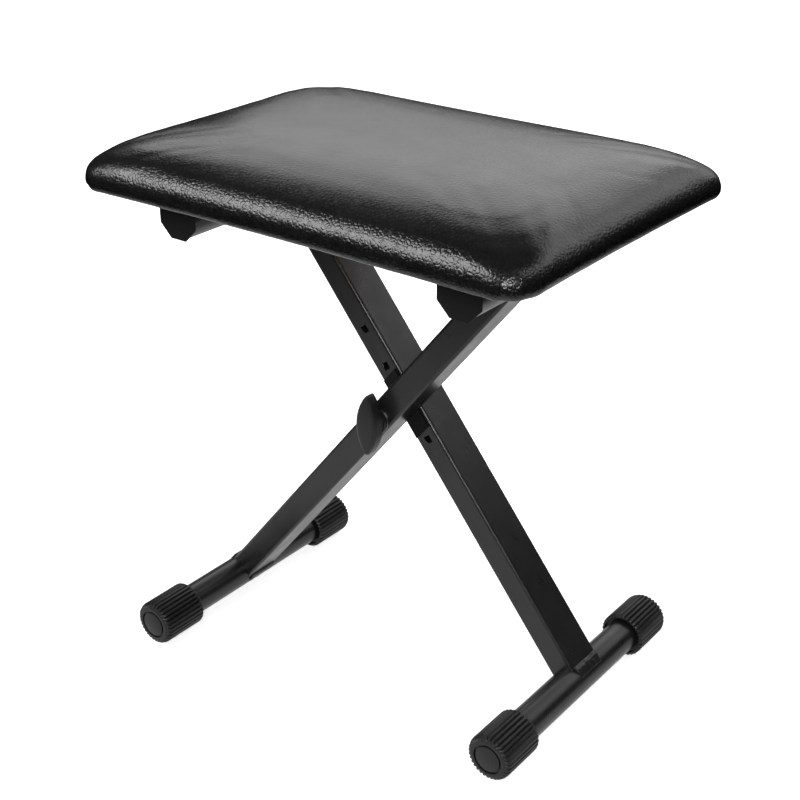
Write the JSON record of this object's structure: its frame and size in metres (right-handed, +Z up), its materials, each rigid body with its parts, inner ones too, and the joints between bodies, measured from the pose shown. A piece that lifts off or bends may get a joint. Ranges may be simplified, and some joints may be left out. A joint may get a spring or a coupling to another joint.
{
  "type": "folding musician's stool",
  "caption": "Padded seat on crossed square-tube legs that swing flat under it, with round feet in fluted rubber caps and a wing knob at the crossing.",
  "frame": {"origin": "on the floor under the middle of the seat, halfway between the two foot tubes", "axes": "+Z up; +X along the seat's long side; -Y towards the side that carries the knob"},
  "size_m": [0.45, 0.319, 0.4964],
  "materials": {
    "cover": "satin grained leatherette",
    "foam": "open-cell foam",
    "board": "raw plywood",
    "staples": "bright wire",
    "frame": "satin black powder coat",
    "fixings": "zinc plated",
    "plugs": "moulded",
    "caps": "moulded, matt",
    "spacer": "moulded",
    "knob": "moulded, fine satin"
  },
  "bodies": {
    "seat": {"seat_cover": "cover", "seat_foam": "foam", "seat_board": "board", "cover_staples": "staples", "saddle_screws": "fixings", "saddle_left_front": "frame", "saddle_left_rear": "frame", "saddle_right_front": "frame", "saddle_right_rear": "frame"},
    "rear_leg": {"rear_leg_tube": "frame", "rear_leg_crossbar": "frame", "rear_leg_crossbar_plugs": "plugs", "rear_leg_crossbar_weld": "frame", "rear_leg_foot_tube": "frame", "rear_leg_foot_weld": "frame", "rear_leg_front_cap": "caps", "rear_leg_back_cap": "caps", "cross_bolt": "fixings", "spacer_pad": "spacer"},
    "front_leg": {"front_leg_tube": "frame", "front_leg_crossbar": "frame", "front_leg_crossbar_plugs": "plugs", "front_leg_crossbar_weld": "frame", "front_leg_foot_tube": "frame", "front_leg_foot_weld": "frame", "front_leg_front_cap": "caps", "front_leg_back_cap": "caps", "knob_washer": "fixings"},
    "knob": {"knob_wing": "knob", "knob_stud": "fixings"}
  },
  "joints": [
    {"name": "rear_leg_fold", "type": "hinge", "parent": "seat", "child": "rear_leg", "pos_m": [-0.144, 0, 0.428], "axis": [0, -1, 0], "range_deg": [0, 43.29]},
    {"name": "front_leg_fold", "type": "hinge", "parent": "seat", "child": "front_leg", "pos_m": [0.144, 0, 0.428], "axis": [0, 1, 0], "range_deg": [0, 43.29]},
    {"name": "knob_turn", "type": "hinge", "parent": "front_leg", "child": "knob", "pos_m": [0, -0.032, 0.24835], "axis": [0, -1, 0], "continuous": true}
  ],
  "couplings": [
    {"joint": "front_leg_fold", "follows": "rear_leg_fold", "ratio": 1}
  ]
}
